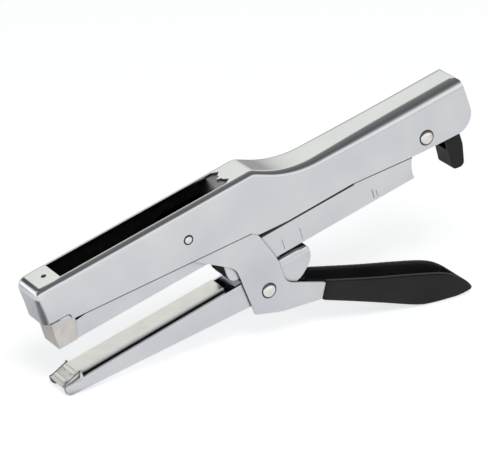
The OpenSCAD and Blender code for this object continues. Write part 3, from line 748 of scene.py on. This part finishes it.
def make_grips():
    """The dipped coat: both plates, the web between them and the closed beak, as one skin."""
    outline = [on_handle(s, n) for s, n in flowing(GRIP_TOP, 5) + flowing(GRIP_BOTTOM, 5)]
    channel = rounded_outline([
        (on_handle(-6, 16), 0),
        (on_handle(0.95 * HANDLE_L, 16), 0),
        (on_handle(0.91 * HANDLE_L, 3.4), 3),
        (on_handle(0.76 * HANDLE_L, GRIP_FLOOR - 6.9), 9),
        (on_handle(-6, GRIP_FLOOR - 3.9), 0),
    ])
    piece = new_piece("vinyl_coat", plate("coat", outline, -GRIP_HALF, GRIP_HALF), "lever", "vinyl")
    clip(piece, plate("channel", channel, -GRIP_INNER, GRIP_INNER), "DIFFERENCE")
    remesh = piece.modifiers.new("skin", "REMESH")
    remesh.mode = "VOXEL"
    remesh.voxel_size = GRIP_GRAIN * MM
    relax = piece.modifiers.new("relax", "SMOOTH")
    relax.factor = 0.7
    relax.iterations = 9
    applied(piece)
    shade_smooth(piece, 180)
    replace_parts(piece, "grip_sleeve")


make_grips()


# ---------------------------------------------------------------- fine edges on the metal nodes

WELD = 0.002             # corners of a node's mesh that lie closer than this are one

# Width of the broken edges of each node, in millimetres
EDGES = {
    "lever": 0.42, "anvil_arm": 0.45, "body_channel": 0.32, "magazine": 0.2, "nose_guide": 0.22,
    "anvil_plate": 0.22, "clinch_anvil": 0.18, "leaf_anchor": 0.2, "release_latch": 0.6,
    "pivot_bracket": 0.2, "drive_leaf": 0.15, "follower": 0.15, "driver_blade": 0.1,
}


def finish_edges():
    """Breaks the edges of the pressed and moulded nodes, whose shapes stay as they are."""
    for name, width in EDGES.items():
        node = frame["nodes"][name]
        weld = node.modifiers.new("weld", "WELD")
        weld.merge_threshold = WELD * MM
        break_edges(node, width, 3 if width > 0.5 else 2)
        node.modifiers.new("flat_faces", "WEIGHTED_NORMAL").keep_sharp = False


finish_edges()


# ---------------------------------------------------------------- rivets

# Radius of the shank, radius of the heads and height of the heads
BIG_RIVET = (2.5, 3.2, 1.5)
SMALL_RIVET = (1.5, 1.8, 0.7)

DOME_SHARE = 0.78        # the dome's share of a head's radius
WALL_SHARE = 0.58        # the wall's share of a head's height
WALL_BEND = (0.92, 0.7)  # where the wall bends: shares of the head's radius and the wall's height


def lathe(name, place, profile, body, slot, steps=40):
    """A piece turned about the y axis of the tool: profile is (radius, y) from end to end."""
    bm = bmesh.new()
    rings = []
    for radius, y in profile:
        ring = circle(place, (radius, radius), steps) if radius else [place]
        rings.append([bm.verts.new(tool(x, y, z)) for x, z in ring])
    for a, b in zip(rings, rings[1:]):
        for i in range(steps):
            j = (i + 1) % steps
            if len(a) == 1:
                bm.faces.new((a[0], b[i], b[j]))
            elif len(b) == 1:
                bm.faces.new((a[i], b[0], a[j]))
            else:
                bm.faces.new((a[i], b[i], b[j], a[j]))
    piece = new_piece(name, finished_mesh(name, bm), body, slot)
    shade_smooth(piece, 50)
    return piece


def make_rivet(node, place, base, sizes, body):
    """A rivet with two heads, each a low dome on a steep wall, ringed at its foot by a dark ring of
    painted shade where the head meets the sheet. The heads start at base, the half width of what
    the rivet holds."""
    shank, head, height = sizes
    dome_r = DOME_SHARE * head
    wall = WALL_SHARE * height
    rise = height - wall
    curve = (dome_r * dome_r + rise * rise) / (2 * rise)
    reach = math.asin(dome_r / curve)
    dome = [
        (curve * math.sin(reach * i / 8), base + height - curve * (1 - math.cos(reach * i / 8)))
        for i in range(9)
    ]
    bend = (WALL_BEND[0] * head, base + WALL_BEND[1] * wall)
    half = dome + [bend, (head, base), (shank, base)]
    profile = [(r, -y) for r, y in half] + [(r, y) for r, y in reversed(half)]
    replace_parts(lathe(node + "_domed", place, profile, body, "rivet_steel"), node)
    # Dark rings round both heads: painted shade where each head meets the sheet
    floor, brim = base - 0.05, base + 0.1
    for side, label in SIDES:
        painted_shade_ring = [(head - 0.2, side * floor), (head + 0.6, side * floor),
                  (head + 0.55, side * brim), (head - 0.2, side * brim)]
        lathe(node + "_groove_" + label, place, painted_shade_ring + painted_shade_ring[:1], body, "dark_steel")


make_rivet("main_rivet", MAIN_PIVOT, LEVER_HALF, BIG_RIVET, "lever")
make_rivet("rear_rivet", REAR_PIVOT, COVER_HALF, BIG_RIVET, "cover")
make_rivet("cross_rivet", CROSS_POINT, COVER_HALF, SMALL_RIVET, "cover")


# ---------------------------------------------------------------- small details

FOLD_SHEET = 0.35        # thickness of the skins that stand for folded edges


def strip(name, outline, y_low, y_high, body, slot, bevel=0.0):
    """A small plate from its side view, with broken edges where they are asked for."""
    piece = new_piece(name, plate(name, outline, y_low, y_high), body, slot)
    if bevel:
        break_edges(piece, bevel, 3)
    shade_smooth(piece, 40)


def lofted(name, sections, body, slot):
    """A thin sheet through rows of (x, y, z) points in the tool frame."""
    bm = bmesh.new()
    rows = [[bm.verts.new(tool(*point)) for point in row] for row in sections]
    for a, b in zip(rows, rows[1:]):
        for i in range(len(a) - 1):
            bm.faces.new((a[i], b[i], b[i + 1], a[i + 1]))
    piece = new_piece(name, finished_mesh(name, bm), body, slot)
    solid = piece.modifiers.new("sheet", "SOLIDIFY")
    solid.thickness = FOLD_SHEET * MM
    solid.offset = 0
    applied(piece)
    shade_smooth(piece, 40)


def make_nose():
    """The curled lip below the cover's front hem with a painted shadow line over it, a black sheet
    of painted shade in the gap behind it, and the dimple pressed into the nose guide."""
    lip = COVER_HALF - 0.2
    hem_shadow_line = [(-1.0, 15.3), (6.0, 15.6), (8.2, 15.4), (9.4, 14.0), (9.3, 13.4), (8.05, 15.1),
                (6.0, 15.3), (-1.0, 15.0)]
    painted_gap_shade = [(10.8, 8.5), (17.2, 9.3), (18, 12), (10.8, 13)]
    dimple = circle((4.4, 7.2), (0.6, 1.3), 20)
    for side, label in SIDES:
        rows = []
        for x in (-1.2, 0.5, 3, 6, 8, 9.5):
            top = 15.5 + 0.3 * ease(x, 0, 6)
            drop = 1.2 + 2.2 * ease(x, -1, 9.5)
            rows.append([
                (x, side * (lip - 0.9 * math.sin(math.radians(a)) ** 2), top - drop * a / 90)
                for a in (0, 20, 40, 60, 80, 90)
            ])
        lofted("hem_curl_" + label, rows, "cover", "chrome_sheet")
        # A dark strip along the front hem: a painted shadow line over the curled lip
        strip("hem_shadow_line_" + label, hem_shadow_line,
              side * (COVER_HALF - 0.25), side * (COVER_HALF - 0.01), "cover", "dark_steel")
        # A black sheet on the magazine's side: painted shade in the gap under the cover's hem
        strip("guard_" + label, painted_gap_shade,
              side * (MAGAZINE_HALF + 0.01), side * (MAGAZINE_HALF + 0.2), "frame", "black_lacquer")
        strip("guide_dimple_" + label, dimple,
              side * (GUIDE_HALF - 0.05), side * (GUIDE_HALF + 0.12), "frame", "nose_steel", 0.1)


def make_tail_fold():
    """The fold of the arm's tail: the top edges of its flanges, turned over with a big radius."""
    outer = ARM_HALF + 0.06
    foot = -18.8
    crest = -15.7
    end_drop = 1.1
    fold_r = 2.0
    sections = []
    for x in (109.4, 112, 116, 120, 123.4, 125.2):
        top = crest - end_drop * ease(x, 121, 125.4)
        half = [(outer, foot)] + [
            (outer - fold_r * (1 - math.sin(a)), top - fold_r * (1 - math.cos(a)))
            for a in map(math.radians, (90, 72, 54, 36, 18, 0))
        ]
        sections.append([(x, -y, z) for y, z in half] + [(x, y, z) for y, z in reversed(half)])
    lofted("tail_fold", sections, "arm", "chrome_sheet")


def make_ticks():
    """Plain marks on the lower channel, where the real one has small stamped marks."""
    foot = -12.6
    marks = [(114.5, 5.2, 0.3), (124.3, 5.8, 0.3), (163.6, 4.6, 0.55), (165.6, 3.2, 0.4)]
    for side, label in SIDES:
        for n, (x, height, width) in enumerate(marks):
            end, top = x + width, foot + height
            strip("tick_%s_%d" % (label, n), [(x, foot), (end, foot), (end, top), (x, top)],
                  side * (ARM_HALF - 0.03), side * (ARM_HALF + 0.02), "frame", "zinc_steel")


def make_anvil_details():
    """The bright lip at the front of the anvil's plate, and at the arm's tip two ribs across the
    anvil, with a tooth of the flange on each side and a black strip of painted shade for the gap
    between the anvil and the flange."""
    lip = [(4.4, -16.1), (6.3, -15.8), (6.3, -15.5), (4.6, -15.52)]
    strip("plate_lip", lip, 0.1 - PLATE_HALF, PLATE_HALF - 0.1, "arm", "anvil_steel", 0.1)
    for label, x, z, top in (("front", -2.6, -17.95, 0.95), ("rear", 2.5, -16.6, 0.68)):
        rib = [(x, z), (x + 1.9, z + 0.5), (x + 1.9, z + top), (x + 0.2, z + top - 0.05)]
        strip("tip_rib_" + label, rib, -PLATE_HALF, PLATE_HALF, "arm", "anvil_steel", 0.2)
    tooth = [(-3.0, -19), (4.4, -17.7), (5.4, -15.5), (5.9, -15.5), (6.1, -19)]
    slot = [(-3.8, -18.4), (5.9, -15.7), (5.9, -15.4), (-3.8, -18.15)]
    for side, label in SIDES:
        strip("tip_tooth_" + label, tooth,
              side * (ARM_HALF - 1.0), side * ARM_HALF, "arm", "chrome_sheet", 0.15)
        # A black strip on each side: painted shade in the gap beside the anvil
        strip("tip_gap_shade_" + label, slot,
              side * (PLATE_HALF + 0.7), side * (PLATE_HALF + 1.15), "arm", "black_lacquer")


make_nose()
make_tail_fold()
make_ticks()
make_anvil_details()


# ---------------------------------------------------------------- floor, backdrop and light

FLOOR = (0.80, 0.80, 0.80)          # what the metal mirrors of the floor
FLOOR_SEEN = (0.46, 0.46, 0.46)     # what the camera sees of it, under the glow
FLOOR_TINT = (0.975, 0.985, 1, 1)   # colour of the glow
FLOOR_GLOW = 0.75                   # brings the floor to white for the camera
MIRRORED_GLOW = 0.17                # the same for the metal
FLOOR_LOW = 0.0004                  # how far the floor lies below the object, in metres

# Dark patches painted into the floor's colour beside the nose, seen only in reflections: a painted
# reflection that lays dark bands on the metal of the nose. Their middle in metres, the share of the
# floor that shows through there, and the radii between which they fade out
REFLECTED_DARK_GREY = (0.22, 0.23, 0.25)
REFLECTED_DARK_PATCHES = [((-0.150, -0.022, 0), 0.0, 0.016, 0.042), ((-0.158, 0.012, 0), 0.1, 0.016, 0.042),
          ((-0.132, 0.045, 0), 0.5, 0.010, 0.045)]


def make_stage():
    """A pale floor that shows white to the camera and keeps the object's shadow."""
    bpy.ops.mesh.primitive_plane_add(size=6, location=(0, 0, -FLOOR_LOW))
    floor = bpy.context.object
    floor.name = "floor"
    m = Nodes("floor", FLOOR, roughness=0.9, Specular_IOR_Level=0.0)
    path = m.tree.nodes.new("ShaderNodeLightPath")
    seen = path.outputs["Is Camera Ray"]
    mirrored = path.outputs["Is Glossy Ray"]
    bare = 1.0
    for place, darkest, near, far in REFLECTED_DARK_PATCHES:
        away = m.tree.nodes.new("ShaderNodeVectorMath")
        away.operation = "DISTANCE"
        away.inputs[1].default_value = place
        m.link(m.place(), away.inputs[0])
        bare = m.math("MULTIPLY", bare, m.spread(away.outputs["Value"], darkest, 1, near, far))
    # Only reflections see the dark patches: a painted reflection on the metal
    bare = m.math("MAXIMUM", bare, m.math("SUBTRACT", 1.0, mirrored))
    pale = m.blend_colours(seen, FLOOR, FLOOR_SEEN)
    m.link(m.blend_colours(bare, REFLECTED_DARK_GREY, FLOOR), pale.node.inputs["A"])
    m.colour(pale)
    m.shader.inputs["Emission Color"].default_value = FLOOR_TINT
    glow = m.math("ADD", m.math("MULTIPLY", seen, FLOOR_GLOW),
                  m.math("MULTIPLY", m.math("MULTIPLY", mirrored, bare), MIRRORED_GLOW))
    m.link(glow, m.shader.inputs["Emission Strength"])
    floor.data.materials.append(m.material)


# What the metal mirrors, by the angle up from the horizon behind the object, over the top and
# down to the horizon in front: a pale wall behind, a dark gap overhead, a soft box in front
STUDIO = [
    (-180, 0.75), (-2, 0.30), (6, 0.31), (14, 0.44), (26, 0.80), (37, 0.95), (42, 0.86),
    (48, 0.46), (56, 0.25), (70, 0.19), (90, 0.16), (112, 0.12), (126, 0.14), (136, 0.30),
    (144, 0.56), (152, 0.90), (166, 0.96), (174, 0.88), (180, 0.75),
]
FLAG_LEVEL = 0.10        # a dark flag high up, at the nose's end
CARD_LEVEL = 1.25        # a bright card low down, behind the nose's end


def make_world():
    """Surroundings that change mostly with height, as a long studio set does."""
    world = bpy.data.worlds.new("studio")
    bpy.context.scene.world = world
    world.use_nodes = True
    tree = world.node_tree

    def joined(kind, first=None, second=None, **settings):
        node = tree.nodes.new(kind)
        for name, value in settings.items():
            setattr(node, name, value)
        for socket, index in ((first, 0), (second, 1)):
            if isinstance(socket, (int, float)):
                node.inputs[index].default_value = socket
            elif socket:
                tree.links.new(socket, node.inputs[index])
        return node

    def both(first, second):
        """1 where two factors are both 1."""
        return joined("ShaderNodeMath", first, second, operation="MULTIPLY").outputs["Value"]

    def window(socket, low, high, soft):
        """1 between low and high, 0 outside, with soft edges."""
        sides = []
        for edge, sign in ((low, 1), (high, -1)):
            node = joined("ShaderNodeMapRange", socket, interpolation_type="SMOOTHSTEP")
            node.inputs["From Min"].default_value = edge - sign * soft
            node.inputs["From Max"].default_value = edge + sign * soft
            sides.append(node.outputs["Result"])
        return both(*sides)

    def laid_over(under, factor, level):
        """A grey level over a colour, by a factor."""
        node = tree.nodes.new("ShaderNodeMix")
        node.data_type = "RGBA"
        node.inputs["B"].default_value = (level, level, level, 1)
        tree.links.new(factor, node.inputs["Factor"])
        tree.links.new(under, node.inputs["A"])
        return node.outputs["Result"]

    coordinates = tree.nodes.new("ShaderNodeTexCoord")
    parts = tree.nodes.new("ShaderNodeSeparateXYZ")
    tree.links.new(coordinates.outputs["Generated"], parts.inputs["Vector"])
    x, y, z = (parts.outputs[axis] for axis in "XYZ")
    turn = joined("ShaderNodeMath", z, y, operation="ARCTAN2")
    share = joined("ShaderNodeMapRange", turn.outputs["Value"])
    share.inputs["From Min"].default_value = -math.pi
    share.inputs["From Max"].default_value = math.pi
    ramp = joined("ShaderNodeValToRGB", share.outputs["Result"])
    elements = ramp.color_ramp.elements
    elements.remove(elements[1])
    elements[0].position = 0
    for angle, _ in STUDIO[1:]:
        elements.new((angle + 180) / 360)
    for element, (angle, level) in zip(elements, STUDIO):
        blue = 0.92 if 10 < angle < 50 else 0.98
        element.color = (level, level * 0.995, level * blue, 1)

    # The flag and the card, by the direction from the object
    behind = window(y, 0.05, 2, 0.05)
    flag = both(both(window(x, -0.50, -0.10, 0.07), window(z, 0.33, 2, 0.06)), behind)
    card = both(both(window(x, -2, -0.42, 0.05), window(z, -0.5, 0.27, 0.06)), behind)
    path = tree.nodes.new("ShaderNodeLightPath")
    sky = laid_over(ramp.outputs["Color"], flag, FLAG_LEVEL)
    sky = laid_over(sky, card, CARD_LEVEL)
    sky = laid_over(sky, path.outputs["Is Camera Ray"], 1.0)
    tree.links.new(sky, tree.nodes["Background"].inputs["Color"])


def make_lamp(name, place, aim, size, power):
    """A square lamp that the metal doesn't mirror: place, aim and size in metres, in watts."""
    data = bpy.data.lights.new(name, "AREA")
    data.energy = power
    data.size = size
    lamp = bpy.data.objects.new(name, data)
    lamp.location = place
    lamp.rotation_mode = "QUATERNION"
    lamp.rotation_quaternion = (Vector(aim) - Vector(place)).to_track_quat("-Z", "Y")
    lamp.visible_glossy = False
    bpy.context.collection.objects.link(lamp)


make_stage()
make_world()
make_lamp("key", (-0.35, -0.85, 1.15), (0, 0, 0.05), 0.5, 11)
bpy.context.scene.view_settings.view_transform = "Standard"
